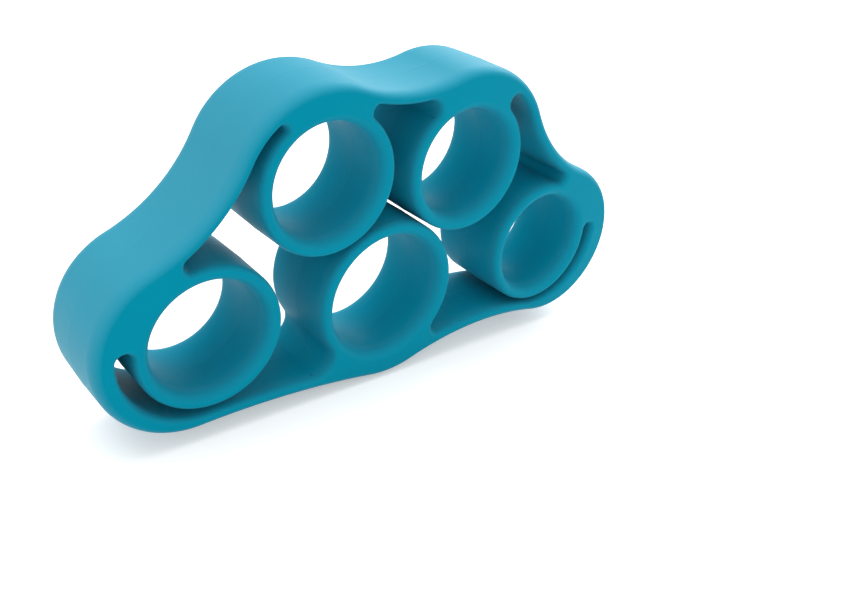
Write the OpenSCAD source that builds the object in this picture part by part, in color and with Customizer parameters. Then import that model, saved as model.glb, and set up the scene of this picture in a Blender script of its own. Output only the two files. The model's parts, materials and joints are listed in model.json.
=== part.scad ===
// Five-finger hand exerciser, moulded in one piece of silicone rubber.
// It stands on its thumb side: X runs along the row of three rings, Z is up and the faces look along Y.
// Five finger rings are tied by solid necks to a wavy elastic band that runs round all of them.

/* [Rings] */
// Diameter of the four finger holes
finger_hole_d = 18.6; // [15:0.1:22]
// Diameter of the thumb hole
thumb_hole_d = 21.4; // [17:0.1:26]
// Thickness of a ring's wall
ring_wall = 2.7; // [2:0.1:3.3]
// Depth of the moulding from face to face
depth = 16.8; // [12:0.1:21]

/* [Layout] */
// Gap left between the thumb ring and the outer rings of the lower row, if the thumb ring were in the middle
lower_gap = 8.4; // [7:0.1:11]
// Gap between the two rings of the upper row
upper_gap = 3.4; // [2.5:0.1:4.2]
// Gap between the thumb ring and the middle finger's ring
nest_gap = 0.3; // [0.25:0.05:0.6]
// How much further out the index ring stands than the little ring
index_out = 0.6; // [0:0.1:1]
// How far the little finger's ring has its centre above the index ring's centre
little_rise = 0.4; // [0.3:0.1:0.8]
// How far the upper pair of rings lies to the index side of the middle
upper_side = 0.9; // [0:0.1:1.2]
// How far the fourth ring's centre lies below the middle ring's centre
fourth_drop = 1.35; // [0.5:0.05:1.4]
// How far the thumb ring's centre lies to the index side of the middle
thumb_side = 1.9; // [1.4:0.1:2.2]
// How far the thumb ring's centre lies below the index ring's centre
thumb_drop = 1.4; // [0:0.1:1.6]

/* [Band] */
// Thickness of the outer band
band_t = 2.5; // [1.9:0.1:3]
// Least gap between an outer ring and its lobe, if the lobe were as thin as the rest of the band
outer_side_gap = 0.5; // [0.4:0.05:0.8]
// How much an outer lobe's inner circle outgrows that gap, which thickens the lobe's far end
outer_round = 0.3; // [0:0.05:0.35]
// How far the little finger's lobe has its centre outside its ring's centre; the index lobe mirrors it
outer_lobe_shift = 3.6; // [2.9:0.1:4.4]
// How far the index lobe's centre lies below its ring's centre
index_lobe_drop = 0.4; // [0:0.1:0.8]
// How far the little finger's lobe has its centre below its ring's centre
little_lobe_drop = 0.6; // [0.5:0.1:1]
// Least gap between an upper ring and its band lobe
upper_side_gap = 2.1; // [1.8:0.05:2.5]
// How far the middle lobe's centre lies below its ring's centre
middle_lobe_drop = 1.2; // [1:0.1:1.5]
// How far the fourth lobe's centre lies below its ring's centre
fourth_lobe_drop = 0.3; // [0.1:0.1:0.6]
// How far the fourth lobe's centre lies to the little finger's side of its ring's centre
fourth_lobe_side = 1.1; // [0.8:0.1:1.4]
// Least gap between the thumb ring and its band lobe
thumb_side_gap = 2.9; // [2.6:0.1:4]
// How far the thumb lobe's centre lies above the thumb ring's centre
thumb_lobe_rise = 2.8; // [2.2:0.1:3.2]
// How far the thumb lobe's centre lies to the little finger's side of the thumb ring's centre
thumb_lobe_side = 0.4; // [0:0.1:1]
// Radius of the outer valley between an outer lobe and an upper lobe
side_valley_r = 28; // [23:0.5:34]
// Radius of the outer valley between the two upper lobes
top_valley_r = 28; // [23:0.5:34]
// Radius of the shallow outer valley between the thumb lobe and the little finger's lobe
little_valley_r = 56; // [50:1:67]
// Radius of the shallower outer valley between the thumb lobe and the index lobe
index_valley_r = 150; // [125:1:180]

/* [Necks] */
// Length of band past the end of each neck that stays stiff with its lobe
neck_margin = 1.5; // [1:0.1:2.5]
// Angle at which an outer ring's neck starts, from straight outwards towards the upper row
outer_neck_up = 74; // [62:1:86]
// Angle at which an outer ring's neck ends, from straight outwards towards the upper row
outer_neck_end = 6; // [0:1:12]
// Angle from straight up to the end of an upper ring's neck, on the side of the other upper ring
upper_neck_in = 35; // [30:1:42]
// Angle from straight up to the end of an upper ring's neck, on the side of the outer ring
upper_neck_out = 39; // [34:1:50]
// Angle from straight down to each end of the thumb ring's neck
thumb_neck_half = 47; // [38:1:56]

/* [Hidden] */
$fn = 180;
silicone = [0.08, 0.56, 0.68];
// Longest straight step along a lobe's edge
facet = 0.7;
// The five stations go clockwise round the band, seen from the front
INDEX = 0;
MIDDLE = 1;
FOURTH = 2;
LITTLE = 3;
THUMB = 4;
stations = 5;

finger_r = finger_hole_d / 2;
thumb_r = thumb_hole_d / 2;
finger_ring_r = finger_r + ring_wall;
thumb_ring_r = thumb_r + ring_wall;
outer_x = thumb_ring_r + lower_gap + finger_ring_r;
upper_x = finger_ring_r + upper_gap / 2;
nest_distance = thumb_ring_r + nest_gap + finger_ring_r;
upper_z = sqrt(pow(nest_distance, 2) - pow(upper_x + upper_side - thumb_side, 2)) - thumb_drop;

hole_r = [finger_r, finger_r, finger_r, finger_r, thumb_r];
ring_r = [for (r = hole_r) r + ring_wall];
ring_c = [
    [-outer_x - index_out, 0], [-upper_x - upper_side, upper_z], [upper_x - upper_side, upper_z - fourth_drop],
    [outer_x, little_rise], [-thumb_side, -thumb_drop]
];
side_gap = [outer_side_gap, upper_side_gap, upper_side_gap, outer_side_gap, thumb_side_gap];
lobe_shift = [
    [index_out - outer_lobe_shift, -index_lobe_drop], [0, -middle_lobe_drop], [fourth_lobe_side, -fourth_lobe_drop],
    [outer_lobe_shift, -little_lobe_drop], [thumb_lobe_side, thumb_lobe_rise]
];
lobe_c = ring_c + lobe_shift;
lobe_out_r = ring_r + side_gap + [for (i = [1 : stations]) band_t];
lobe_in_r = ring_r + side_gap + [outer_round, 0, 0, outer_round, 0];
valley_r = [side_valley_r, top_valley_r, side_valley_r, little_valley_r, index_valley_r];
// Each neck's first and last angle round its ring, anticlockwise
neck_from = [180 - outer_neck_up, 90 - upper_neck_in, 90 - upper_neck_out, outer_neck_end, -90 - thumb_neck_half];
neck_to = [180 - outer_neck_end, 90 + upper_neck_out, 90 + upper_neck_in, outer_neck_up, -90 + thumb_neck_half];
// The lowest point of the thumb lobe stands on Z = 0
base_z = lobe_out_r[THUMB] - lobe_c[THUMB][1];

function after(i) = (i + 1) % stations;
function before(i) = (i + stations - 1) % stations;
function along(a) = [cos(a), sin(a)];
function degrees_of(length, r) = length / r * 180 / PI;
function heading(from, to) = atan2(to[1] - from[1], to[0] - from[0]);
// The angle a moved by whole turns until it is less than one turn past b
function turned_past(a, b) = a < b ? turned_past(a + 360, b) : (a >= b + 360 ? turned_past(a - 360, b) : a);

// Centre of the circle of radius rv that touches two lobe circles from outside, left of the way p to q
function valley_centre(p, rp, q, rq, rv) =
    let (d = norm(q - p), u = (q - p) / d)
    let (along_pq = (d * d + pow(rp + rv, 2) - pow(rq + rv, 2)) / (2 * d))
    let (off_pq = sqrt(pow(rp + rv, 2) - along_pq * along_pq))
    p + u * along_pq + [-u[1], u[0]] * off_pq;

valley_c = [
    for (i = [0 : stations - 1])
        valley_centre(lobe_c[i], lobe_out_r[i], lobe_c[after(i)], lobe_out_r[after(i)], valley_r[i])
];
valley_in_r = [for (r = valley_r) r + band_t];

// Centre of the circle of radius r that touches the band's inner side in the valleys b and i
function inner_centre(b, i, r) =
    let (p = valley_c[b], q = valley_c[i], d = norm(q - p), u = (q - p) / d)
    let (rp = valley_in_r[b] + r, rq = valley_in_r[i] + r)
    let (along_pq = (d * d + rp * rp - rq * rq) / (2 * d))
    p + u * along_pq + [u[1], -u[0]] * sqrt(rp * rp - along_pq * along_pq);

inner_c = [for (i = [0 : stations - 1]) inner_centre(before(i), i, lobe_in_r[i])];
// Each valley's arc runs anticlockwise about its centre, from its own lobe to the next one, and its
// inner side runs as far as the two lobes' inner circles
valley_from = [for (i = [0 : stations - 1]) heading(valley_c[i], lobe_c[i])];
valley_to = [for (i = [0 : stations - 1]) turned_past(heading(valley_c[i], lobe_c[after(i)]), valley_from[i])];
inner_from = [
    for (i = [0 : stations - 1]) turned_past(heading(valley_c[i], inner_c[i]), valley_from[i] - 180)
];
inner_to = [
    for (i = [0 : stations - 1]) turned_past(heading(valley_c[i], inner_c[after(i)]), valley_to[i] - 180)
];

// Angle about a valley's centre at which the edge of a neck, a ray from the ring's centre, meets the
// band, or the angle "missed" where the ray passes the valley's circle by
function neck_end(c, a, v, r, missed) =
    let (w = v - c, b = w * along(a), under = b * b - w * w + r * r)
    under < 0 ? missed : heading(v, c + (b - sqrt(under)) * along(a));

// The free span of each valley starts and ends a margin past the necks of the two lobes
span_from = [
    for (i = [0 : stations - 1])
        let (a = neck_end(ring_c[i], neck_from[i], valley_c[i], valley_in_r[i], inner_from[i]))
        max(inner_from[i], turned_past(a, inner_from[i] - 180)) + degrees_of(neck_margin, valley_r[i])
];
span_to = [
    for (i = [0 : stations - 1])
        let (j = after(i))
        let (a = neck_end(ring_c[j], neck_to[j], valley_c[i], valley_in_r[i], inner_to[i]))
        min(inner_to[i], turned_past(a, inner_to[i] - 180)) - degrees_of(neck_margin, valley_r[i])
];

// Points along a circle's arc from the angle a0 up to, but not including, a1
function arc(c, r, a0, a1) =
    let (steps = ceil(abs(a1 - a0) * r * PI / 180 / facet))
    [for (k = [0 : steps - 1]) c + r * along(a0 + (a1 - a0) * k / steps)];

// One side of a lobe with its tails, clockwise: the circle of radius r about c, and the valleys' sides
// at the depth t below the band's outer surface, which it meets at the angles b_end and i_start
function lobe_edge(i, t, c, r, b_end, i_start) =
    let (b = before(i), lobe_to = heading(c, valley_c[i]))
    let (lobe_from = turned_past(heading(c, valley_c[b]), lobe_to))
    concat(
        arc(valley_c[b], valley_r[b] + t, span_to[b], b_end),
        arc(c, r, lobe_from, lobe_to),
        arc(valley_c[i], valley_r[i] + t, i_start, span_from[i]),
        [valley_c[i] + (valley_r[i] + t) * along(span_from[i])]
    );
function outer_edge(i) = lobe_edge(i, 0, lobe_c[i], lobe_out_r[i], valley_to[before(i)], valley_from[i]);
function inner_edge(i) = lobe_edge(i, band_t, inner_c[i], lobe_in_r[i], inner_to[before(i)], inner_from[i]);
function backwards(list) = [for (k = [len(list) - 1 : -1 : 0]) list[k]];

// Turns a flat outline into a slab of the moulding's depth, standing on the thumb lobe
module slab() {
    translate([0, 0, base_z])
        rotate([90, 0, 0])
            linear_extrude(height = depth, center = true)
                children();
}

// Pie slice about the origin from angle a0 anticlockwise to a1, reaching past radius r
module slice(r, a0, a1) {
    steps = 12;
    reach = r * 1.2;
    polygon(concat([[0, 0]], [for (k = [0 : steps]) reach * along(a0 + (a1 - a0) * k / steps)]));
}

// Flat curved strip about the point c, between two radii and two angles
module strip(c, r_in, r_out, a0, a1) {
    translate(c)
        intersection() {
            difference() {
                circle(r = r_out);
                circle(r = r_in);
            }
            slice(r_out, a0, a1);
        }
}

// Ring that one finger goes through
module finger_ring(i) {
    color(silicone)
        slab()
            translate(ring_c[i])
                difference() {
                    circle(r = ring_r[i]);
                    circle(r = hole_r[i]);
                }
}

// Solid web between a ring and the band
module neck(i) {
    color(silicone)
        slab()
            difference() {
                intersection() {
                    polygon(concat([ring_c[i]], inner_edge(i)));
                    translate(ring_c[i])
                        slice(lobe_out_r[i] * 1.5, neck_from[i], neck_to[i]);
                }
                translate(ring_c[i])
                    circle(r = ring_r[i]);
            }
}

// Part of the outer band that curves round one ring, with the short tails past its neck
module lobe(i) {
    color(silicone)
        slab()
            polygon(concat(outer_edge(i), backwards(inner_edge(i))));
}

// Free stretch of the outer band through the valley between a lobe and the next one
module span(i) {
    color(silicone)
        slab()
            strip(valley_c[i], valley_r[i], valley_in_r[i], span_from[i], span_to[i]);
}

finger_ring(INDEX);  // index_ring
finger_ring(MIDDLE);  // middle_ring
finger_ring(FOURTH);  // fourth_ring
finger_ring(LITTLE);  // little_ring
finger_ring(THUMB);  // thumb_ring
neck(INDEX);  // index_neck
neck(MIDDLE);  // middle_neck
neck(FOURTH);  // fourth_neck
neck(LITTLE);  // little_neck
neck(THUMB);  // thumb_neck
lobe(INDEX);  // index_lobe
lobe(MIDDLE);  // middle_lobe
lobe(FOURTH);  // fourth_lobe
lobe(LITTLE);  // little_lobe
lobe(THUMB);  // thumb_lobe
span(INDEX);  // span_index_middle
span(MIDDLE);  // span_middle_fourth
span(FOURTH);  // span_fourth_little
span(LITTLE);  // span_little_thumb
span(THUMB);  // span_thumb_index
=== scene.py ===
"""Looks of a five-finger silicone hand exerciser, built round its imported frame.

The moulding is worked out in its own flat plan, in millimetres: the first plan coordinate runs along X,
the second along Z, and the depth runs along Y with the front face at negative Y. The plan is the union of
five rings, their necks and a closed wavy band. Every free edge of that union is rounded over in the same
way, so the separate pieces meet in one unbroken skin.
"""
import json
import logging
import math
from dataclasses import dataclass, field, fields, replace
from enum import Enum

import bpy
import numpy as np
from mathutils import Matrix, Vector

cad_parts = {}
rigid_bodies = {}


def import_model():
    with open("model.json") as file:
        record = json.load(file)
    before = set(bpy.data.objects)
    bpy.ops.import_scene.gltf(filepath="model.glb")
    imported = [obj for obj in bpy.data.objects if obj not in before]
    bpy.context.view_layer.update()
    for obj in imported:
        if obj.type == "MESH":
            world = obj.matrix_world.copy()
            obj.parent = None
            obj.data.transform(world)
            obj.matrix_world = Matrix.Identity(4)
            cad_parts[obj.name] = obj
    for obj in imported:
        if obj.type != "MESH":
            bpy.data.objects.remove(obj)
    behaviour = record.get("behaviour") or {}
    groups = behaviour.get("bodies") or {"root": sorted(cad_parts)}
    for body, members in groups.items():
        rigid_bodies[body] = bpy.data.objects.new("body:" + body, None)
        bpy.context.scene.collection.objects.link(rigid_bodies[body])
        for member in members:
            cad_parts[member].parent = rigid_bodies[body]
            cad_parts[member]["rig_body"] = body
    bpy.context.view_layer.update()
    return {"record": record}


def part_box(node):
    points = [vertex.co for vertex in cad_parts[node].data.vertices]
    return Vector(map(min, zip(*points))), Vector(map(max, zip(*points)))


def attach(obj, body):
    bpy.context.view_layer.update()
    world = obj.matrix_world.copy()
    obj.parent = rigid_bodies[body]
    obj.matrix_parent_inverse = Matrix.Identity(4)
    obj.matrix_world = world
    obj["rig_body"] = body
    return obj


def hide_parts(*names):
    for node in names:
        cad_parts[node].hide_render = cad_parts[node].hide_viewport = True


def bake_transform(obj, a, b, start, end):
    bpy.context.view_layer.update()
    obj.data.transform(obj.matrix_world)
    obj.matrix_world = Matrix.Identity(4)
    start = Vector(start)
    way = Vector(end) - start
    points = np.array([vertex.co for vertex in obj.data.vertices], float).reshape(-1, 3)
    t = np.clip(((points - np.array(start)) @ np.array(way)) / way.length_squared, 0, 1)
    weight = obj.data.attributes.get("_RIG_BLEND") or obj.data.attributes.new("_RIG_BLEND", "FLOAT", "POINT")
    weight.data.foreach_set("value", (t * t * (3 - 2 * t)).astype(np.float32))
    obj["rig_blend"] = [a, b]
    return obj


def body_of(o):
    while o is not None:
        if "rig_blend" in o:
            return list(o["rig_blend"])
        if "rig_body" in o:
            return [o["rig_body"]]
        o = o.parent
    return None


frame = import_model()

MM = 0.001
TURN = 2 * math.pi
TINY = 1e-9  # keeps a zero length from dividing
LOG = logging.getLogger("exerciser")


class Station(Enum):
    """The five rings, clockwise round the band as seen from the front."""

    INDEX = 0
    MIDDLE = 1
    FOURTH = 2
    LITTLE = 3
    THUMB = 4

    @property
    def word(self) -> str:
        """The name that the frame's nodes and bodies use."""
        return self.name.lower()

    @property
    def after(self) -> "Station":
        """The next station, clockwise."""
        return Station((self.value + 1) % len(Station))

    @property
    def before(self) -> "Station":
        """The station before, clockwise."""
        return Station((self.value - 1) % len(Station))


class Side(Enum):
    """The two ends of a neck, by the way the angle turns when it leaves the neck."""

    CLOCKWISE = -1
    ANTICLOCKWISE = 1


def along(angle: np.ndarray | float) -> np.ndarray:
    """Unit vectors at the given angles.

    Args:
        angle: one angle or an array of angles, in radians.

    Returns:
        An array with one more axis than angle, of length 2.
    """
    return np.stack([np.cos(angle), np.sin(angle)], axis=-1)


def heading(start: np.ndarray, end: np.ndarray) -> float:
    """The direction from one plan point to another, in radians."""
    return math.atan2(end[1] - start[1], end[0] - start[0])


def turned_past(angle: float, least: float) -> float:
    """The angle moved by whole turns until it is past the least angle by less than one turn."""
    return angle + TURN * math.ceil((least - angle) / TURN)


def eased(count: int) -> np.ndarray:
    """Shares from 0 to 1, closer together at both ends: half of one less a cosine over half a turn."""
    return (1 - np.cos(np.linspace(0, math.pi, count))) / 2


def third_corner(
    start: np.ndarray, from_start: float, end: np.ndarray, from_end: float, side: int
) -> np.ndarray:
    """The third corner of a triangle whose other corners and sides are known.

    The two known corners are d apart, and the foot of the height on the line between them is
    (d squared + from_start squared - from_end squared) / 2d from the first. The height is Pythagoras's.

    Args:
        start: the first corner.
        from_start: the third corner's distance from the first.
        end: the second corner.
        from_end: the third corner's distance from the second.
        side: 1 for the corner to the left of the way from the first to the second, -1 for the right.

    Returns:
        The third corner.
    """
    apart = np.linalg.norm(end - start)
    way = (end - start) / apart
    foot = (apart * apart + from_start**2 - from_end**2) / (2 * apart)
    square = side * np.array([-way[1], way[0]])
    return start + way * foot + square * math.sqrt(from_start**2 - foot**2)


@dataclass(frozen=True)
class Edge:
    """A rounded edge, a quarter of an ellipse: width across the face and depth down the wall.

    The third field is painted sheen: how much paler the rounded part is painted, in place of the reflection
    it catches, from 0 to 1. steepest is the largest share that the slope is worked out for, because the
    ellipse ends upright.
    """

    width: float
    depth: float
    # How much paler the rounded part is painted: a painted sheen in place of reflection.
    bloom: float = 0.3
    steps: int = 9
    steepest: float = 0.999999

    def insets(self) -> np.ndarray:
        """Distances from the edge, closer together where the edge is steep."""
        return self.width * (1 - np.cos(np.linspace(0, math.pi / 2, self.steps)))

    def drop(self, distance: np.ndarray) -> np.ndarray:
        """How far the surface lies below the flat face at a distance from the edge.

        The formula is depth x (1 - sqrt(1 - q squared)), where q falls from 1 at the edge to 0 where the
        flat face begins.
        """
        q = np.clip(1 - distance / self.width, 0, 1)
        return self.depth * (1 - np.sqrt(1 - q * q))

    def slope(self, distance: np.ndarray) -> np.ndarray:
        """The steepness at a distance from the edge: depth / width x q / sqrt(1 - q squared)."""
        q = np.clip(1 - distance / self.width, 0, self.steepest)
        return self.depth / self.width * q / np.sqrt(1 - q * q)


@dataclass(frozen=True)
class Wall:
    """How a wall leans: drafted from a thin parting ridge at mid-depth back to each rounded edge."""

    draft: float = 0.1
    ridge_height: float = 0.022
    ridge_half_width: float = 0.3
    ridge_steps: int = 5
    draft_steps: int = 4

    @property
    def inset(self) -> float:
        """How far the foot of a rounded edge lies inside the widest line of the wall."""
        return self.draft + self.ridge_height

    def levels(self, half: float) -> np.ndarray:
        """Places the wall's rows, close together on the ridge and further apart on the draft.

        Args:
            half: the wall's half depth in millimetres.

        Returns:
            The rows' depths from the front edge to the back edge, as shares of the half depth.
        """
        ridge = np.linspace(0, self.ridge_half_width, self.ridge_steps) / half
        rest = np.linspace(self.ridge_half_width / half, 1, self.draft_steps + 1)[1:]
        positive = np.concatenate([ridge, rest])
        return np.concatenate([positive[::-1], -positive[1:]])

    def bulge(self, share: np.ndarray, half: float) -> tuple[np.ndarray, np.ndarray]:
        """Offset of the wall outwards from the foot of its rounded edge, and how fast that changes.

        The offset is the draft x (1 - share) plus a raised cosine of the ridge's width round mid-depth.

        Args:
            share: depth from the middle as a share of the half depth, from -1 to 1.
            half: the wall's half depth in millimetres.

        Returns:
            The offset, and its change for each millimetre towards the front.
        """
        away = np.abs(share) * half
        in_ridge = away < self.ridge_half_width
        phase = math.pi * away / self.ridge_half_width
        ridge = np.where(in_ridge, self.ridge_height * (1 + np.cos(phase)) / 2, 0)
        steepest = self.ridge_height * math.pi / self.ridge_half_width / 2
        ridge_rate = np.where(in_ridge, -steepest * np.sin(phase), 0)
        rate = (ridge_rate - self.draft / half) * np.sign(share)
        return self.draft * (1 - np.abs(share)) + ridge, rate


@dataclass(frozen=True)
class Arc:
    """Part of the band's outline: a circle's arc, gone along from start to stop.

    inward is -1 where the band's thickness goes towards the arc's centre and 1 where it goes away from it.
    """

    centre: np.ndarray
    radius: float
    start: float
    stop: float
    inward: int

    @property
    def length(self) -> float:
        """Length of the arc along the outer outline."""
        return abs(self.stop - self.start) * self.radius

    def distance_to(self, angle: float) -> float:
        """Distance along the outline from the start to an angle, which may lie beyond either end."""
        return (angle - self.start) * math.copysign(self.radius, self.stop - self.start)

    def holds(self, angle: float) -> bool:
        """Whether the arc passes through an angle."""
        low, high = sorted((self.start, self.stop))
        return turned_past(angle, low) <= high

    def near(self, angle: float) -> float:
        """The angle moved by whole turns so that it is as close as can be to the arc's middle."""
        return turned_past(angle, (self.start + self.stop) / 2 - math.pi)


@dataclass
class Run:
    """A stretch of the band: several arcs one after another, sampled at even steps.

    The band is as thick as it is in the plan, or thicker where the circle that hollows out a lobe lies
    further from the outer outline. place is each sample's distance along the outline, outline its plan
    point, outward the outline's unit normal there, and void_way the unit normal of the inner side.
    """

    arcs: list[Arc]
    band: float
    hollow: Arc | None = None
    step: float = 0.36
    fewest_steps: int = 3

    def __post_init__(self) -> None:
        """Samples every arc as whole arrays and joins them, then hollows out the lobe."""
        outline, outward, place = [], [], []
        done = 0.0
        for number, arc in enumerate(self.arcs):
            count = max(self.fewest_steps, math.ceil(arc.length / self.step)) + 1
            angles = np.linspace(arc.start, arc.stop, count)
            if number:
                angles = angles[1:]
            outline.append(arc.centre + along(angles) * arc.radius)
            outward.append(along(angles) * -arc.inward)
            place.append(done + np.abs(angles - arc.start) * arc.radius)
            done += arc.length
        self.outline, self.outward = np.concatenate(outline), np.concatenate(outward)
        self.place = np.concatenate(place)
        self.thickness = np.full(len(self.place), self.band)
        self.void_way = -self.outward
        if self.hollow:
            self._thicken()

    def _thicken(self) -> None:
        """Takes the inner side to the hollow's circle wherever the hollow's arc is what bounds the band.

        The thickness is how far a line square to the outline goes before it enters the circle: b minus the
        root of b squared minus the outline point's power, where b is the centre's distance along the line.
        """
        to = self.hollow.centre - self.outline
        b = -np.sum(to * self.outward, axis=1)
        under = b * b - np.sum(to * to, axis=1) + self.hollow.radius**2
        depth = b - np.sqrt(np.maximum(under, 0))
        touch = self.outline - self.outward * depth[:, None]
        off = touch - self.hollow.centre
        angle = self.hollow.stop + np.mod(np.arctan2(off[:, 1], off[:, 0]) - self.hollow.stop, TURN)
        hollowed = (under > 0) & (b > 0) & (angle <= self.hollow.start)
        self.thickness = np.where(hollowed, depth, self.thickness)
        self.void_way = np.where(hollowed[:, None], -off / self.hollow.radius, self.void_way)

    def at(self, insets: np.ndarray) -> np.ndarray:
        """Plan points below the outer outline: each outline point less its outward normal x the depth.

        Args:
            insets: one row of depths for all the samples, or one row for each sample.

        Returns:
            A grid of plan points, sample by depth.
        """
        depths = np.broadcast_to(insets, (len(self.place), insets.shape[-1]))
        return self.outline[:, None] - self.outward[:, None] * depths[..., None]

    def place_of(self, number: int, angle: float) -> float:
        """Distance along the run to an angle on one of its arcs, or beyond the run's ends."""
        before = sum(arc.length for arc in self.arcs[:number])
        return before + self.arcs[number].distance_to(self.arcs[number].near(angle))


@dataclass(frozen=True)
class SlotEnd:
    """The round end of the slot between a ring and the band, a circle that touches both.

    direction is the angle from the ring's centre to the circle's centre; on_valley says whether the circle
    touches the band at a valley or at the lobe, and touch is the angle of that point on the band's arc.
    """

    centre: np.ndarray
    radius: float
    direction: float
    side: Side
    on_valley: bool
    touch: float

    def distance(self, points: np.ndarray) -> np.ndarray:
        """Distance of plan points from the circle, positive outside it."""
        return np.linalg.norm(points - self.centre, axis=-1) - self.radius

    def outward(self, points: np.ndarray) -> np.ndarray:
        """Unit vectors from plan points towards the circle's centre."""
        to = self.centre - points
        return to / np.maximum(np.linalg.norm(to, axis=-1, keepdims=True), TINY)


@dataclass
class Plan:
    """The moulding's flat plan. Holes, rings and depth come from the frame; the band's sizes are here.

    Lengths are in millimetres and angles in degrees, and a tuple holds one value for each station.

    side_gap is how much larger the lobe's inner radius is than its ring's outer one, and lobe_shift is how
    far the lobe's centre lies from the ring's. The circle that hollows out the lobe touches the band in both
    valleys, and its radius is larger still, by rounding. valley_radius is for the outer outline between a
    lobe and the next one. neck_start and neck_stop are the directions of the neck's two sides from the
    ring's centre, and neck_margin is how far past a neck the lobe's tail runs on before the free span
    begins. slot_guess is the first radius tried for a slot's round end, and slot_rounds is how often it is
    worked out again.
    """

    band: float = 2.5
    side_gap: tuple[float, ...] = (0.5, 2.1, 2.1, 0.5, 2.9)
    rounding: tuple[float, ...] = (0.3, 0, 0, 0.3, 0)
    lobe_shift: tuple[tuple[float, float], ...] = (
        (-3.0, -0.4), (0, -1.2), (1.1, -0.3), (3.6, -0.6), (0.4, 2.8),
    )
    valley_radius: tuple[float, ...] = (28, 28, 28, 56, 150)
    neck_start: tuple[float, ...] = (106, 55, 51, 6, -137)
    neck_stop: tuple[float, ...] = (174, 129, 125, 74, -43)
    neck_margin: float = 1.5
    slot_guess: float = 1.0
    slot_rounds: int = 40
    wall: Wall = field(default_factory=Wall)
    # The outer edge and wall get the full painted sheen, standing in for reflection on the band.
    outer_edge: Edge = Edge(1.35, 2.4, 1.0)
    void_edge: Edge = Edge(0.88, 1.5)
    hole_edge: Edge = Edge(1.5, 2.1)

    def __post_init__(self) -> None:
        """Reads the rings from the frame and works out every arc, slot end and span of the band."""
        mounts = {mount["name"]: mount for mount in frame["record"]["mounts"]}
        holes = [mounts[f"{station.word}_hole"] for station in Station]
        self.ring_centre = np.array([[hole["pos_m"][0], hole["pos_m"][2]] for hole in holes]) / MM
        self.hole_radius = np.array([hole["dims"]["r_mm"] for hole in holes])
        corners = [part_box(f"{station.word}_ring") for station in Station]
        self.ring_radius = np.array([high.x - low.x for low, high in corners]) / 2 / MM
        self.half_depth = (corners[0][1].y - corners[0][0].y) / 2 / MM
        self.lobe_centre = self.ring_centre + np.array(self.lobe_shift)
        self.lobe_radius = self.ring_radius + np.array(self.side_gap) + self.band
        self.valley_centre = np.array([self._valley_centre(station) for station in Station])
        self.hollow_radius = self.lobe_radius - self.band + np.array(self.rounding)
        self.hollow_centre = np.array([self._hollow_centre(station) for station in Station])
        self.valley_from, self.valley_to, self.hollow_from, self.hollow_to = [], [], [], []
        for station in Station:
            v, after = station.value, station.after.value
            start = heading(self.valley_centre[v], self.lobe_centre[v])
            stop = self._on_valley(v, self.lobe_centre[after], start)
            self.valley_from.append(start)
            self.valley_to.append(stop)
            self.hollow_from.append(self._on_valley(v, self.hollow_centre[v], start - math.pi))
            self.hollow_to.append(self._on_valley(v, self.hollow_centre[after], stop - math.pi))
        self.slots = {(s, side): self._slot_end(s, side) for s in Station for side in Side}
        self.span_from, self.span_to = [], []
        for station in Station:
            margin = self.neck_margin / self.valley_radius[station.value]
            self.span_from.append(self._neck_end(station, Side.CLOCKWISE) + margin)
            self.span_to.append(self._neck_end(station.after, Side.ANTICLOCKWISE) - margin)

    def _on_valley(self, v: int, point: np.ndarray, least: float) -> float:
        """The direction from a valley's centre to a plan point, past the least angle."""
        return turned_past(heading(self.valley_centre[v], point), least)

    def _valley_centre(self, station: Station) -> np.ndarray:
        """Centre of the circle that touches this lobe and the next one from outside.

        Args:
            station: the station before the valley.

        Returns:
            The plan point that lies the two radii away from either lobe's centre, on the outer side.
        """
        i, j = station.value, station.after.value
        valley = self.valley_radius[i]
        from_this, from_next = self.lobe_radius[i] + valley, self.lobe_radius[j] + valley
        return third_corner(self.lobe_centre[i], from_this, self.lobe_centre[j], from_next, 1)

    def _hollow_centre(self, station: Station) -> np.ndarray:
        """Centre of the circle that hollows out a lobe and touches the band's inner side in both valleys.

        Args:
            station: the lobe's station.

        Returns:
            The plan point that lies both radii and the band away from either valley's centre.
        """
        i, j = station.before.value, station.value
        from_last = self.valley_radius[i] + self.band + self.hollow_radius[j]
        from_this = self.valley_radius[j] + self.band + self.hollow_radius[j]
        return third_corner(self.valley_centre[i], from_last, self.valley_centre[j], from_this, -1)

    def hollow(self, station: Station) -> Arc:
        """The arc that hollows out a lobe.

        Args:
            station: the lobe's station.

        Returns:
            The arc, clockwise from the valley before the lobe to the one after it.
        """
        centre = self.hollow_centre[station.value]
        stop = heading(centre, self.valley_centre[station.value])
        start = turned_past(heading(centre, self.valley_centre[station.before.value]), stop)
        return Arc(centre, self.hollow_radius[station.value], start, stop, -1)

    def valley_by(self, station: Station, side: Side) -> int:
        """The number of the valley that one side of a neck looks on."""
        return station.value if side is Side.CLOCKWISE else station.before.value

    def neck_edge(self, station: Station, side: Side) -> float:
        """The direction of one side of a neck from the ring's centre, in radians."""
        edges = self.neck_start if side is Side.CLOCKWISE else self.neck_stop
        return math.radians(edges[station.value])

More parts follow.
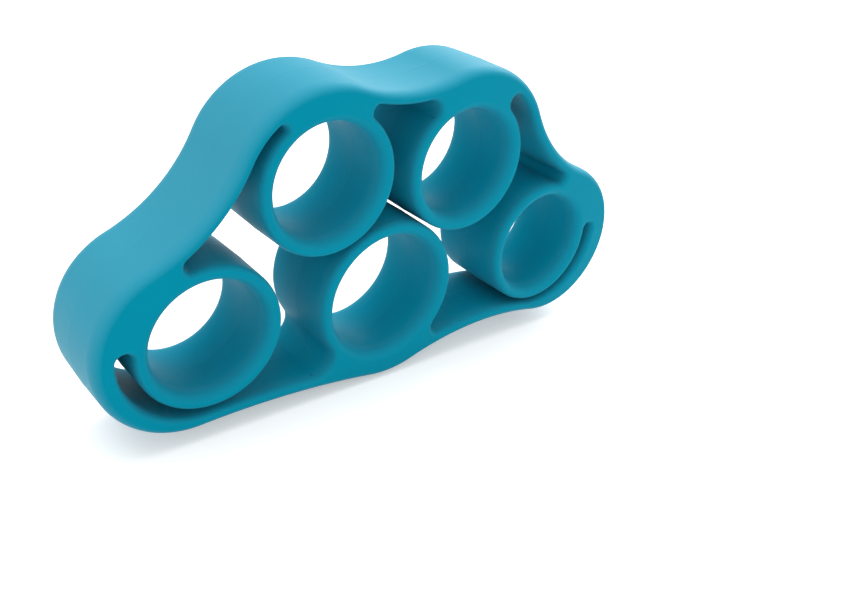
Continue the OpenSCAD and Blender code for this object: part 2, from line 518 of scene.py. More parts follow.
    def _neck_end(self, station: Station, side: Side) -> float:
        """Where one side of a neck meets the band in the neighbouring valley, or that valley's own end.

        The side is a ray from the ring's centre. It meets the band's inner side at b minus the root of
        b squared minus the ring centre's power, where b is how far along it the valley's centre lies.

        Args:
            station: the neck's station.
            side: which side of the neck.

        Returns:
            The angle from the valley's centre.
        """
        v = self.valley_by(station, side)
        own = self.hollow_from[v] if side is Side.CLOCKWISE else self.hollow_to[v]
        ray = along(self.neck_edge(station, side))
        to = self.valley_centre[v] - self.ring_centre[station.value]
        b = to @ ray
        under = b * b - to @ to + (self.valley_radius[v] + self.band) ** 2
        if under < 0:
            return own
        meeting = self.ring_centre[station.value] + (b - math.sqrt(under)) * ray
        hit = self._on_valley(v, meeting, own - math.pi)
        return max(own, hit) if side is Side.CLOCKWISE else min(own, hit)

    def _slot_end(self, station: Station, side: Side) -> SlotEnd:
        """The circle that touches the ring, the band and the ray where the neck ends.

        Its size turns it away from the ray and its direction sets its size, so the two are worked out in
        turn until they settle. In one direction, the size follows from the distance between two centres:
        the sum of the radii where circles touch from outside, and their difference where one is inside.

        Args:
            station: the neck's station.
            side: which side of the neck.

        Returns:
            The slot's round end.
        """
        i, v = station.value, self.valley_by(station, side)
        limit = self.neck_edge(station, side)
        ring, radius = self.ring_centre[i], self.ring_radius[i]
        lobe, valley = ring - self.hollow_centre[i], ring - self.valley_centre[v]
        inner, bulge = self.hollow_radius[i], self.valley_radius[v] + self.band
        inner_valley = Arc(self.valley_centre[v], bulge, self.hollow_from[v], self.hollow_to[v], 1)
        size = self.slot_guess
        for _ in range(self.slot_rounds):
            angle = limit + side.value * math.asin(size / (radius + size))
            way = along(angle)
            from_lobe, from_valley = lobe + radius * way, valley + radius * way
            in_valley = (np.sum(from_valley**2) - bulge**2) / (2 * (bulge - radius - valley @ way))
            touch = heading(self.valley_centre[v], ring + (radius + in_valley) * way)
            on_valley = inner_valley.holds(touch)
            in_lobe = (inner**2 - np.sum(from_lobe**2)) / (2 * (radius + inner + lobe @ way))
            size = in_valley if on_valley else in_lobe
        centre = ring + (radius + size) * way
        if not on_valley:
            far = along(heading(self.hollow_centre[i], centre))
            touch = heading(self.lobe_centre[i], self.hollow_centre[i] + self.hollow_radius[i] * far)
        return SlotEnd(centre, size + self.wall.inset, angle, side, on_valley, touch)

    def valley_arc(self, v: int) -> Arc:
        """The whole outer arc of a valley."""
        ends = self.valley_from[v], self.valley_to[v]
        return Arc(self.valley_centre[v], self.valley_radius[v], *ends, 1)

    def lobe_arc(self, station: Station) -> Arc:
        """The outer arc of a lobe.

        Args:
            station: the lobe's station.

        Returns:
            The arc, clockwise from the valley before the lobe to the one after it.
        """
        centre = self.lobe_centre[station.value]
        stop = heading(centre, self.valley_centre[station.value])
        start = turned_past(heading(centre, self.valley_centre[station.before.value]), stop)
        return Arc(centre, self.lobe_radius[station.value], start, stop, -1)

    def lobe_run(self, station: Station, whole: bool = False) -> Run:
        """A lobe with what belongs to it on either side.

        Args:
            station: the lobe's station.
            whole: whether the valleys on both sides come whole, or only the lobe's own tails in them.

        Returns:
            The run: the valley before, the lobe, and the valley after.
        """
        before, after = self.valley_arc(station.before.value), self.valley_arc(station.value)
        if not whole:
            before = replace(before, start=self.span_to[station.before.value])
            after = replace(after, stop=self.span_from[station.value])
        return Run([before, self.lobe_arc(station), after], self.band, self.hollow(station))

    def span_run(self, station: Station) -> Run:
        """The free stretch of band from this station to the next one."""
        start, stop = self.span_from[station.value], self.span_to[station.value]
        return Run([replace(self.valley_arc(station.value), start=start, stop=stop)], self.band)

    def band_insets(self, thickness: np.ndarray) -> np.ndarray:
        """Depths of the band's rows below its outer outline, from its outer edge to its inner one.

        Args:
            thickness: the band's thickness at each sample.

        Returns:
            A grid of depths, sample by row.
        """
        outer = self.wall.inset + self.outer_edge.insets()
        outer = np.broadcast_to(outer, (len(thickness), len(outer)))
        inner = thickness[:, None] - self.wall.inset - self.void_edge.insets()[::-1]
        return np.concatenate([outer, inner], axis=1)


class Shell:
    """Gathers the points, faces and corner normals of one closed piece."""

    def __init__(self) -> None:
        """Starts empty."""
        self.points: list[np.ndarray] = []
        self.blooms: list[np.ndarray] = []
        self.faces: list[list[int]] = []
        self.normals: list[np.ndarray] = []
        self.count = 0

    def add(self, plan: np.ndarray, depth: np.ndarray, bloom: np.ndarray | float) -> np.ndarray:
        """Adds a grid of points.

        Args:
            plan: plan coordinates, with any leading shape and a last axis of 2.
            depth: signed distance towards the front, of the leading shape.
            bloom: how much paler the surface is painted there in place of reflection, from 0 to 1.

        Returns:
            The points' numbers, in the leading shape.
        """
        xyz = np.stack([plan[..., 0], -depth, plan[..., 1]], axis=-1).reshape(-1, 3)
        numbers = np.arange(self.count, self.count + len(xyz)).reshape(depth.shape)
        self.points.append(xyz)
        self.blooms.append(np.broadcast_to(bloom, depth.shape).reshape(-1))
        self.count += len(xyz)
        return numbers

    def skin(
        self, numbers: np.ndarray, plan_normal: np.ndarray, lift: np.ndarray, closed: bool = False
    ) -> None:
        """Lays quads over a grid of points, each turned to face the way its normals do.

        Args:
            numbers: a grid of point numbers.
            plan_normal: the normals' part in the plan, for each point.
            lift: the normals' part towards the front, for each point.
            closed: whether the first axis joins up with itself.
        """
        normal = np.stack([plan_normal[..., 0], -lift, plan_normal[..., 1]], axis=-1)
        normal = normal / np.linalg.norm(normal, axis=-1, keepdims=True)
        if closed:
            numbers = np.concatenate([numbers, numbers[:1]])
            normal = np.concatenate([normal, normal[:1]])
        corners = [np.s_[:-1, :-1], np.s_[1:, :-1], np.s_[1:, 1:], np.s_[:-1, 1:]]
        quads = np.stack([numbers[corner] for corner in corners], axis=-1).reshape(-1, 4)
        normals = np.stack([normal[corner] for corner in corners], axis=-2).reshape(-1, 4, 3)
        xyz = np.concatenate(self.points)[quads]
        cross = np.cross(xyz[:, 2] - xyz[:, 0], xyz[:, 3] - xyz[:, 1])
        wrong = np.sum(cross * normals.sum(1), axis=1) < 0
        quads[wrong], normals[wrong] = quads[wrong][:, ::-1], normals[wrong][:, ::-1]
        self.faces.extend(quads.tolist())
        self.normals.append(normals.reshape(-1, 3))

    def cap(self, loop: np.ndarray, way: np.ndarray) -> None:
        """Closes a flat loop of points with one face.

        Args:
            loop: the points' numbers, in order either way round.
            way: the plan direction that the face looks along, a unit vector.
        """
        normal = np.array([way[0], 0, way[1]])
        xyz = np.concatenate(self.points)[loop]
        area = np.cross(xyz, np.roll(xyz, -1, 0)).sum(0)
        loop = loop if area @ normal > 0 else loop[::-1]
        self.faces.append(loop.tolist())
        self.normals.append(np.repeat(normal[None], len(loop), 0))

    def build(self, name: str) -> bpy.types.Object:
        """Makes the mesh, in metres, with its painted-sheen attribute and its own corner normals.

        Args:
            name: the name of the object and its mesh.

        Returns:
            The object, linked to the scene.
        """
        mesh = bpy.data.meshes.new(name)
        mesh.from_pydata((np.concatenate(self.points) * MM).tolist(), [], self.faces)
        mesh.polygons.foreach_set("use_smooth", np.ones(len(self.faces), bool))
        bloom = mesh.attributes.new("bloom", "FLOAT", "POINT")
        bloom.data.foreach_set("value", np.concatenate(self.blooms).astype(np.float32))
        mesh.update()
        mesh.normals_split_custom_set(np.concatenate(self.normals))
        piece = bpy.data.objects.new(name, mesh)
        bpy.context.scene.collection.objects.link(piece)
        return piece


@dataclass(frozen=True)
class Row:
    """A row of points that the front and back faces share, and the wall that hangs between them.

    front and back are point numbers, plan and height their places, and outward the wall's unit normals.
    free is 1 where the wall is an outer surface and 0 where another zone lies against it.
    """

    front: np.ndarray
    back: np.ndarray
    plan: np.ndarray
    height: np.ndarray
    outward: np.ndarray
    free: np.ndarray

    @staticmethod
    def joined(rows: "list[Row]") -> "Row":
        """Several rows, end to end, as one."""
        names = [part.name for part in fields(Row)]
        return Row(*(np.concatenate([getattr(row, name) for row in rows]) for name in names))


@dataclass(frozen=True)
class Faces:
    """The front and back faces of a zone: point numbers, plan places and heights, all on one grid."""

    front: np.ndarray
    back: np.ndarray
    plan: np.ndarray
    height: np.ndarray

    def row(self, where: tuple, outward: np.ndarray, free: float = 1.0) -> Row:
        """One row of the grid as the top of a wall."""
        parts = (grid[where] for grid in (self.front, self.back, self.plan, self.height))
        return Row(*parts, outward, np.full(len(outward), free))


@dataclass
class Part:
    """One zone of the moulding: its plan, its node and body in the frame, and its finish."""

    plan: Plan
    station: Station
    node: str
    slot: str

    def build(self) -> bpy.types.Object:
        """Makes the zone's piece."""
        raise NotImplementedError

    def follow(self, piece: bpy.types.Object) -> None:
        """Makes the piece move with its ring's body."""
        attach(piece, self.station.word)

    def side_wall(
        self, shell: Shell, row: Row, closed: bool = False, bloom: float = 0.0
    ) -> np.ndarray:
        """Joins a row of the front face to the same row of the back face with a drafted wall.

        Each point is the row's point pushed outwards by the wall's bulge at its depth, if it is free.

        Args:
            shell: the piece's shell.
            row: the row of the two faces that the wall hangs from.
            closed: whether the row joins up with itself.
            bloom: how much paler the wall is painted in place of reflection.

        Returns:
            The numbers of every wall point, row by level, with the front and back rows.
        """
        wall, half = self.plan.wall, self.plan.half_depth
        share = wall.levels(half)
        offset, rate = wall.bulge(share, half)
        depth = share[None] * row.height[:, None]
        push = row.free[:, None] * offset[None]
        points = row.plan[:, None] + row.outward[:, None] * push[..., None]
        middle = shell.add(points[:, 1:-1], depth[:, 1:-1], bloom)
        numbers = np.concatenate([row.front[:, None], middle, row.back[:, None]], axis=1)
        lean = -rate[None] * row.free[:, None]
        shell.skin(numbers, np.repeat(row.outward[:, None], len(share), 1), lean, closed)
        return numbers

    def faces(
        self,
        shell: Shell,
        plan: np.ndarray,
        edges: list[tuple[Edge, np.ndarray, np.ndarray]],
        closed: bool = False,
    ) -> Faces:
        """Lays the front and back faces over one grid of plan points.

        The height is the half depth less the drop of every edge at the point's distance from it.

        Args:
            shell: the piece's shell.
            plan: plan coordinates of the grid.
            edges: for each rounded edge, its shape, the points' distances and their directions to it.
            closed: whether the grid's first axis joins up with itself.

        Returns:
            The two faces.
        """
        height = np.full(plan.shape[:-1], self.plan.half_depth)
        lean = np.zeros(plan.shape)
        bloom = np.zeros(plan.shape[:-1])
        for edge, distance, towards in edges:
            height = height - edge.drop(distance)
            lean = lean + edge.slope(distance)[..., None] * towards
            # Near a rounded edge the colour is painted paler: a painted sheen in place of reflection.
            bloom = np.maximum(bloom, edge.bloom * np.clip(1 - distance / edge.width, 0, 1))
        front = shell.add(plan, height, bloom)
        back = shell.add(plan, -height, bloom)
        ones = np.ones(height.shape)
        shell.skin(front, lean, ones, closed)
        shell.skin(back, lean, -ones, closed)
        return Faces(front, back, plan, height)


@dataclass
class FingerRing(Part):
    """The ring that one finger goes through."""

    turns: int = 360

    def build(self) -> bpy.types.Object:
        """Makes the ring: a grid of angle by radius, rounded at the hole and on its free outer stretch.

        Returns:
            The piece.
        """
        sizes, number = self.plan, self.station.value
        inset = sizes.wall.inset
        angle = np.linspace(0, TURN, self.turns, endpoint=False)
        hole, rim = sizes.hole_radius[number] + inset, sizes.ring_radius[number] - inset
        radius = np.concatenate([hole + sizes.hole_edge.insets(), (rim - sizes.void_edge.insets())[::-1]])
        plan = sizes.ring_centre[number] + along(angle)[:, None] * radius[None, :, None]
        ray = np.broadcast_to(along(angle)[:, None], plan.shape)
        to_hole = np.broadcast_to(radius[None] - hole, plan.shape[:-1])
        start, stop = (sizes.slots[self.station, side] for side in (Side.CLOCKWISE, Side.ANTICLOCKWISE))
        past = np.mod(angle - start.direction, TURN)
        in_neck = (past < stop.direction - start.direction)[:, None]
        to_start, to_stop = start.distance(plan), stop.distance(plan)
        near = np.where((to_start < to_stop)[..., None], start.outward(plan), stop.outward(plan))
        to_slot = np.minimum(to_start, to_stop)
        to_void = np.where(in_neck, to_slot, rim - radius[None])
        towards = np.where(in_neck[..., None], near, ray)
        shell = Shell()
        edges = [(sizes.hole_edge, to_hole, -ray), (sizes.void_edge, to_void, towards)]
        faces = self.faces(shell, plan, edges, closed=True)
        self.side_wall(shell, faces.row(np.s_[:, 0], -ray[:, 0]), closed=True)
        self.side_wall(shell, faces.row(np.s_[:, -1], ray[:, -1]), closed=True)
        return shell.build(f"{self.node}_skin")


@dataclass
class Neck(Part):
    """The solid web between a ring and the band, hollowed at each end by the slot's round end."""

    across: int = 72
    outwards: int = 28
    slot_points: int = 200

    def polar(self, points: np.ndarray) -> tuple[np.ndarray, np.ndarray]:
        """Plan points as seen from the ring's centre.

        Args:
            points: the plan points.

        Returns:
            Their angles, within half a turn of the neck's middle, and their distances.
        """
        sizes, number = self.plan, self.station.value
        middle = math.radians((sizes.neck_start[number] + sizes.neck_stop[number]) / 2)
        off = points - sizes.ring_centre[number]
        angle = np.arctan2(off[..., 1], off[..., 0])
        return middle + np.mod(angle - middle + math.pi, TURN) - math.pi, np.linalg.norm(off, axis=-1)

    def slot_arc(self, slot: SlotEnd) -> np.ndarray:
        """The slot's round end, from where it touches the ring to where it touches the band.

        Args:
            slot: the slot's round end on one side of the neck.

        Returns:
            Plan points along it, on the neck's side.
        """
        sizes, number = self.plan, self.station.value
        start = heading(slot.centre, sizes.ring_centre[number])
        if slot.on_valley:
            stop = heading(slot.centre, sizes.valley_centre[sizes.valley_by(self.station, slot.side)])
        else:
            stop = heading(sizes.hollow_centre[number], slot.centre)
        stop = turned_past(stop, start)
        if slot.side is Side.CLOCKWISE:
            stop -= TURN
        return slot.centre + slot.radius * along(np.linspace(start, stop, self.slot_points))

    def band_side(self) -> tuple[np.ndarray, np.ndarray]:
        """The band's inner side behind the ring.

        Returns:
            Its angles from the ring's centre in rising order, and its distances.
        """
        whole = self.plan.lobe_run(self.station, whole=True)
        depth = whole.thickness[:, None] - self.plan.wall.inset
        angle, radius = self.polar(whole.at(depth)[:, 0])
        order = np.argsort(angle)
        return angle[order], radius[order]

    def build(self) -> bpy.types.Object:
        """Makes the neck: a grid between its two slot ends, and from the ring's edge to the band's.

        Returns:
            The piece.
        """
        sizes = self.plan
        foot = sizes.ring_radius[self.station.value] - sizes.wall.inset
        band_side = self.band_side()
        slots = [sizes.slots[self.station, side] for side in (Side.CLOCKWISE, Side.ANTICLOCKWISE)]
        share = eased(self.outwards)
        sides = []
        for slot in slots:
            angle, radius = self.polar(self.slot_arc(slot))
            level = (radius - foot) / (np.interp(angle, *band_side) - foot)
            level = np.maximum.accumulate(np.clip(level, 0, 1))
            sides.append(np.interp(share, level, angle))
        angle = sides[0][None] + (sides[1] - sides[0])[None] * eased(self.across)[:, None]
        radius = foot + share[None] * (np.interp(angle, *band_side) - foot)
        ray = along(angle)
        plan = sizes.ring_centre[self.station.value] + ray * radius[..., None]
        shell = Shell()
        edges = [
            (sizes.void_edge, np.maximum(slot.distance(plan), 0), slot.outward(plan)) for slot in slots
        ]
        faces = self.faces(shell, plan, edges)
        rows = [
            faces.row(np.s_[0, :-1], slots[0].outward(plan[0, :-1])),
            faces.row(np.s_[:-1, -1], ray[:-1, -1], free=0.0),
            faces.row(np.s_[-1, :0:-1], slots[1].outward(plan[-1, :0:-1])),
            faces.row(np.s_[:0:-1, 0], -ray[:0:-1, 0], free=0.0),
        ]
        self.side_wall(shell, Row.joined(rows), closed=True)
        return shell.build(f"{self.node}_skin")


@dataclass
class BandPiece(Part):
    """A stretch of the outer band, a rounded section carried along arcs."""

    def neck_reach(self, run: Run) -> tuple[np.ndarray, list[SlotEnd]]:
        """Which of the run's samples have a neck behind them, and the slot ends that round it off."""
        raise NotImplementedError

    def sweep(self, run: Run) -> bpy.types.Object:
        """Carries the band's section along a run of arcs and closes both ends.

        The inner edge is rounded where the band is free; along a neck the face runs on flat, rounded only
        round the slot ends.

        Args:
            run: the stretch of band.

        Returns:
            The piece.
        """
        sizes = self.plan
        insets = sizes.band_insets(run.thickness)
        plan = run.at(insets)
        outward = np.broadcast_to(run.outward[:, None], plan.shape)
        to_outer = insets - sizes.wall.inset
        to_void = run.thickness[:, None] - sizes.wall.inset - insets
        towards = np.repeat(run.void_way[:, None], insets.shape[1], 1)
        in_neck, slots = self.neck_reach(run)
        if slots:
            distances = np.stack([slot.distance(plan) for slot in slots])
            ways = np.stack([slot.outward(plan) for slot in slots])
            nearest = np.argmin(distances, axis=0)[None]
            to_slot = np.take_along_axis(distances, nearest, 0)[0]
            slot_way = np.take_along_axis(ways, nearest[..., None], 0)[0]
            to_void = np.where(in_neck[:, None], np.maximum(to_slot, 0), to_void)
            towards = np.where(in_neck[:, None, None], slot_way, towards)
        shell = Shell()
        edges = [(sizes.outer_edge, to_outer, outward), (sizes.void_edge, to_void, towards)]
        faces = self.faces(shell, plan, edges)
        # The outer wall gets the outer edge's painted sheen, a paler colour in place of reflection.
        outer = self.side_wall(shell, faces.row(np.s_[:, 0], run.outward), bloom=sizes.outer_edge.bloom)
        inner = self.side_wall(shell, faces.row(np.s_[:, -1], run.void_way))
        for end, way in ((0, -1), (-1, 1)):
            loop = [faces.front[end], inner[end, 1:-1], faces.back[end, ::-1], outer[end, -2:0:-1]]
            ahead = plan[1, 0] - plan[0, 0] if end == 0 else plan[-1, 0] - plan[-2, 0]
            shell.cap(np.concatenate(loop), way * ahead / np.linalg.norm(ahead))
        return shell.build(f"{self.node}_skin")


@dataclass
class Lobe(BandPiece):
    """The part of the band that curves round one ring, with its tails past the neck."""

    def neck_reach(self, run: Run) -> tuple[np.ndarray, list[SlotEnd]]:
        """The samples between the two slot ends of this ring's own neck.

        Args:
            run: the lobe with its tails.

        Returns:
            Whether each sample is one of them, and the two slot ends.
        """
        first = self.plan.slots[self.station, Side.ANTICLOCKWISE]
        last = self.plan.slots[self.station, Side.CLOCKWISE]
        start = run.place_of(0 if first.on_valley else 1, first.touch)
        stop = run.place_of(2 if last.on_valley else 1, last.touch)
        return (run.place > start) & (run.place < stop), [first, last]

    def build(self) -> bpy.types.Object:
        """Makes the lobe."""
        return self.sweep(self.plan.lobe_run(self.station))


@dataclass
class Span(BandPiece):
    """The free stretch of band between two lobes, which stretches when the hand opens."""

    def neck_reach(self, run: Run) -> tuple[np.ndarray, list[SlotEnd]]:
        """The samples past the slot ends of the two neighbouring necks, where those touch this valley.

        Args:
            run: the span.

        Returns:
            Whether each sample is one of them, and the slot ends that touch this valley.
        """
        first = self.plan.slots[self.station, Side.CLOCKWISE]
        last = self.plan.slots[self.station.after, Side.ANTICLOCKWISE]
        in_neck = np.zeros(len(run.place), bool)
        if first.on_valley:
            in_neck |= run.place < run.place_of(0, first.touch)
        if last.on_valley:
            in_neck |= run.place > run.place_of(0, last.touch)
        return in_neck, [slot for slot in (first, last) if slot.on_valley]

    def build(self) -> bpy.types.Object:
        """Makes the span."""
        return self.sweep(self.plan.span_run(self.station))

    @property
    def far_body(self) -> str:
        """The body that the far end follows: the next ring's, or a bridge where the loop is opened."""
        return "bridge" if self.station is Station.MIDDLE else self.station.after.word

    def follow(self, piece: bpy.types.Object) -> None:
        """Stretches the piece between its two bodies, and keeps both cut ends whole.

        A point's share is its projection on the line from one cut end to the other. The line starts at the
        near end's furthest point and stops at the far end's nearest one.

        Args:
            piece: the span's piece.
        """
        run = self.plan.span_run(self.station)
        near, far = run.at(np.array([0, self.plan.band]))[[0, -1]]
        base = near.mean(0)
        line = far.mean(0) - base
        line /= np.linalg.norm(line)
        ends = base + line * np.max((near - base) @ line), base + line * np.min((far - base) @ line)
        start, end = (Vector((x, 0, z)) * MM for x, z in ends)
        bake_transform(piece, self.station.word, self.far_body, start=start, end=end)


class NodeBoard:
    """Adds shader nodes to one node tree in few words."""

    def __init__(self, tree: bpy.types.NodeTree) -> None:
        """Takes over a node tree and empties it."""
        self.tree = tree
        tree.nodes.clear()

    def put(self, socket: bpy.types.NodeSocket, value: object) -> None:
        """Sets a socket, or links it.

        Args:
            socket: the socket that takes the value.
            value: a plain value, or another node's output.
        """
        if isinstance(value, bpy.types.NodeSocket):
            self.tree.links.new(value, socket)
        else:
            socket.default_value = value

    def add(
        self, kind: str, settings: dict[str, object] | None = None, **values: object
    ) -> bpy.types.Node:
        """Adds a node.

        Args:
            kind: the node's type, without its ShaderNode beginning.
            settings: the node's own settings by name.
            values: what its sockets take, by name, with _ for a space.

        Returns:
            The new node.
        """
        node = self.tree.nodes.new(f"ShaderNode{kind}")
        for name, value in (settings or {}).items():
            setattr(node, name, value)
        for name, value in values.items():
            self.put(node.inputs[name.replace("_", " ")], value)
        return node

    def joined(
        self, kind: str, first: object, second: object, settings: dict[str, object] | None = None
    ) -> bpy.types.NodeSocket:
        """Adds a node that makes one value of two.

        Args:
            kind: the node's type, without its ShaderNode beginning.
            first: what its first socket takes.
            second: what its second socket takes.
            settings: the node's own settings by name.

        Returns:
            The node's output.
        """
        node = self.add(kind, settings)
        self.put(node.inputs[0], first)
        self.put(node.inputs[1], second)
        return node.outputs[0]

    def blend(self, share: bpy.types.NodeSocket, low: object, high: object) -> bpy.types.NodeSocket:
        """Blends two colours: the low one x (1 - share) plus the high one x share.

        Args:
            share: a share from 0 to 1.
            low: a colour, or an output that gives one.
            high: the other colour.

        Returns:
            The blend's output.
        """
        mix = self.add("Mix", {"data_type": "RGBA"}, Factor=share)
        first, second = (socket for socket in mix.inputs if socket.type == "RGBA")
        self.put(first, low)
        self.put(second, high)
        return next(socket for socket in mix.outputs if socket.type == "RGBA")

    def ramp(self, value: bpy.types.NodeSocket, low: float, high: float) -> bpy.types.NodeSocket:
        """A number from 0 to 1 turned into a number from low to high."""
        return self.add("MapRange", Value=value, To_Min=low, To_Max=high).outputs["Result"]

    def noise(self, place: bpy.types.NodeSocket, size: float, detail: float) -> bpy.types.NodeSocket:
        """A random share from 0 to 1 that changes over patches of about the size, in metres."""
        return self.add("TexNoise", Vector=place, Scale=1 / size, Detail=detail).outputs["Fac"]

    def seen(self) -> bpy.types.NodeSocket:
        """Tells the rays that the eye, glosses and clear bodies see by from those that light matt surfaces.

        Returns:
            The largest of the three kinds' shares: 1 for the first sort of ray and 0 for the second.
        """
        larger = {"operation": "MAXIMUM"}
        path = self.add("LightPath").outputs
        direct = self.joined("Math", path["Is Camera Ray"], path["Is Glossy Ray"], larger)
        return self.joined("Math", direct, path["Is Transmission Ray"], larger)


@dataclass(frozen=True)
class Silicone:
    """Matt moulded silicone: one dye all through, faintly clouded, with a fine blasted-mould grain.

    The outer wall and the rounded edges are painted paler, a painted sheen in place of the reflection
    they catch. Lengths are in metres, as Object coordinates are.
    """

    name: str
    dye: tuple[float, float, float] = (0.0, 0.252, 0.366)
    cloud: tuple[float, float, float] = (0.0, 0.238, 0.348)
    # Paler colour for the painted sheen on the outer wall and rounded edges, in place of reflection.
    bloom_dye: tuple[float, float, float] = (0.035, 0.272, 0.384)
    cloud_size: float = 0.012
    cloud_detail: float = 3.0
    grain_size: float = 0.00035
    grain_detail: float = 2.0
    grain_depth: float = 0.000012
    roughness: tuple[float, float] = (0.44, 0.52)
    specular: float = 0.05
    sheen: float = 0.05
    sheen_roughness: float = 0.4
    gloss_tint: tuple[float, float, float] = (0.1, 0.8, 1.0)
    sheen_tint: tuple[float, float, float] = (0.4, 0.9, 1.0)

    def make(self) -> bpy.types.Material:
        """Builds the material.

        Returns:
            The material, under the finish's name.
        """
        material = bpy.data.materials.new(self.name)
        material.use_nodes = True
        board = NodeBoard(material.node_tree)
        place = board.add("TexCoord").outputs["Object"]
        clouds = board.noise(place, self.cloud_size, self.cloud_detail)
        grain = board.noise(place, self.grain_size, self.grain_detail)
        # The painted-sheen attribute pales the colour in place of the reflection on walls and edges.
        bloom = board.add("Attribute", {"attribute_name": "bloom"}).outputs["Fac"]
        body = board.blend(clouds, (*self.dye, 1), (*self.cloud, 1))
        surface = board.add(
            "BsdfPrincipled",
            Base_Color=board.blend(bloom, body, (*self.bloom_dye, 1)),
            Normal=board.add("Bump", Height=grain, Distance=self.grain_depth).outputs["Normal"],
            Roughness=board.ramp(clouds, *self.roughness),
            Specular_IOR_Level=self.specular,
            Specular_Tint=(*self.gloss_tint, 1),
            Sheen_Weight=self.sheen,
            Sheen_Roughness=self.sheen_roughness,
            Sheen_Tint=(*self.sheen_tint, 1),
        )
        board.add("OutputMaterial", Surface=surface.outputs["BSDF"])
        return material


@dataclass
class Moulding:
    """The whole exerciser: five rings, five necks, five lobes and five spans."""

    plan: Plan
    ring_finish: Silicone = Silicone("ring_silicone")
    band_finish: Silicone = Silicone("band_silicone")

    def zones(self) -> list[Part]:
        """Every zone of the moulding.

        Returns:
            The zones, station by station.
        """
        ring, band = self.ring_finish.name, self.band_finish.name
        zones: list[Part] = []
        for station in Station:
            zones += [
                FingerRing(self.plan, station, f"{station.word}_ring", ring),
                Neck(self.plan, station, f"{station.word}_neck", ring),
                Lobe(self.plan, station, f"{station.word}_lobe", band),
                Span(self.plan, station, f"span_{station.word}_{station.after.word}", band),
            ]
        return zones

    def build(self) -> None:
        """Makes every zone, dresses it, ties it to the frame and reports it."""
        finishes = {finish.name: finish.make() for finish in (self.ring_finish, self.band_finish)}
        for zone in self.zones():
            piece = zone.build()
            piece.data.materials.append(finishes[zone.slot])
            zone.follow(piece)
            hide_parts(zone.node)
            LOG.info("%s: %d faces on %s", piece.name, len(piece.data.polygons), body_of(piece))


@dataclass(frozen=True)
class Viewpoint:
    """Where the camera stands, in degrees and millimetres.

    aside is how far it is carried right and up from the line to its target, which puts the target off the
    frame's middle. lens is in millimetres, and nearest is the closest thing it sees, in metres.
    """

    azimuth: float = -41.72
    elevation: float = 29.03
    roll: float = 6.22
    distance: float = 159.4
    aside: tuple[float, float] = (10.06, -5.81)
    lens: float = 38.36
    nearest: float = 0.01

    def place(self, target: Vector) -> None:
        """Makes the camera.

        Args:
            target: what the line of sight points at before the camera is carried aside, in metres.
        """
        azimuth, elevation, roll = map(math.radians, (self.azimuth, self.elevation, self.roll))
        reach, height = math.cos(elevation), math.sin(elevation)
        back = Vector((math.sin(azimuth) * reach, -math.cos(azimuth) * reach, height))
        level = Vector((0, 0, 1)).cross(back).normalized()
        rise = back.cross(level)
        right = math.cos(roll) * level + math.sin(roll) * rise
        up = math.cos(roll) * rise - math.sin(roll) * level
        spot = target + (back * self.distance + right * self.aside[0] + up * self.aside[1]) * MM
        turn = Matrix((right, up, back)).transposed().to_4x4()
        camera = bpy.data.objects.new("camera", bpy.data.cameras.new("camera"))
        camera.data.lens = self.lens
        camera.data.clip_start = self.nearest
        camera.matrix_world = Matrix.Translation(spot) @ turn
        bpy.context.scene.collection.objects.link(camera)
        bpy.context.scene.camera = camera


@dataclass(frozen=True)
class Lamp:
    """A square soft lamp: where it stands and its side in metres, and its power in watts."""

    name: str
    spot: tuple[float, float, float]
    side: float
    power: float

    def light(self, target: Vector) -> None:
        """Makes the lamp.

        Args:
            target: what it shines at, in metres.
        """
        data = bpy.data.lights.new(self.name, "AREA")
        data.size = self.side
        data.energy = self.power
        lamp = bpy.data.objects.new(self.name, data)
        lamp.location = self.spot
        lamp.visible_camera = False
        lamp.rotation_mode = "QUATERNION"
        lamp.rotation_quaternion = (target - Vector(self.spot)).to_track_quat("-Z", "Y")
        bpy.context.scene.collection.objects.link(lamp)


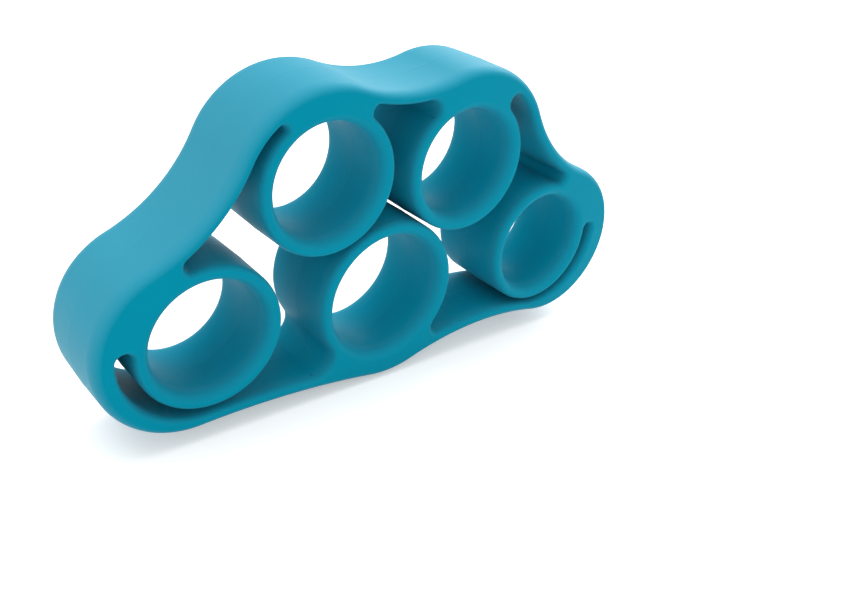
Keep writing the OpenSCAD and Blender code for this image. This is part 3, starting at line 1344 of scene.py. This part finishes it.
@dataclass(frozen=True)
class Studio:
    """A plain white table under three soft lamps and an even white surround.

    The floor's side and its gap under the object are in metres. surround is how strongly the white round
    about lights the object, and floor_glow is the floor's own light, which only the eye and glosses see.
    """

    floor_side: float = 12.0
    floor_gap: float = 0.0002
    floor_colour: float = 0.8
    floor_glow: float = 0.37
    surround: float = 0.8
    lamps: tuple[Lamp, ...] = (
        Lamp("overhead", (-0.15, 0.05, 0.6), 0.5, 2.0),
        Lamp("back_soft", (0.5, 0.24, 0.4), 0.5, 3.9),
        Lamp("front_fill", (-0.3, -0.8, 0.2), 0.6, 1.0),
    )

    def set_up(self, target: Vector) -> None:
        """Makes the surround, the floor and the lamps.

        Args:
            target: what the lamps shine at, in metres.
        """
        scene = bpy.context.scene
        scene.view_settings.view_transform = "Standard"
        scene.world = bpy.data.worlds.new("surround")
        scene.world.use_nodes = True
        board = NodeBoard(scene.world.node_tree)
        strength = board.ramp(board.seen(), self.surround, 1.0)
        sky = board.add("Background", Color=(1, 1, 1, 1), Strength=strength)
        board.add("OutputWorld", Surface=sky.outputs[0])
        self.lay_floor()
        for lamp in self.lamps:
            lamp.light(target)

    def lay_floor(self) -> None:
        """Makes the floor: matt white, with a little glow of its own."""
        half, low = self.floor_side / 2, -self.floor_gap
        corners = [(-half, -half, low), (half, -half, low), (half, half, low), (-half, half, low)]
        mesh = bpy.data.meshes.new("floor")
        mesh.from_pydata(corners, [], [(0, 1, 2, 3)])
        material = bpy.data.materials.new("floor_white")
        material.use_nodes = True
        board = NodeBoard(material.node_tree)
        matt = board.add("BsdfDiffuse", Color=(*(self.floor_colour,) * 3, 1))
        glow = board.add("Emission", Strength=board.ramp(board.seen(), 0.0, self.floor_glow))
        both = board.joined("AddShader", matt.outputs[0], glow.outputs[0])
        board.add("OutputMaterial", Surface=both)
        mesh.materials.append(material)
        floor = bpy.data.objects.new("floor", mesh)
        bpy.context.scene.collection.objects.link(floor)


def main() -> None:
    """Builds the exerciser, its studio and its camera."""
    logging.basicConfig(level=logging.INFO, format="%(message)s")
    plan = Plan()
    target = Vector((0, 0, plan.ring_centre[Station.INDEX.value][1])) * MM
    Viewpoint().place(target)
    Studio().set_up(target)
    Moulding(plan).build()


if __name__ == "__main__":
    main()
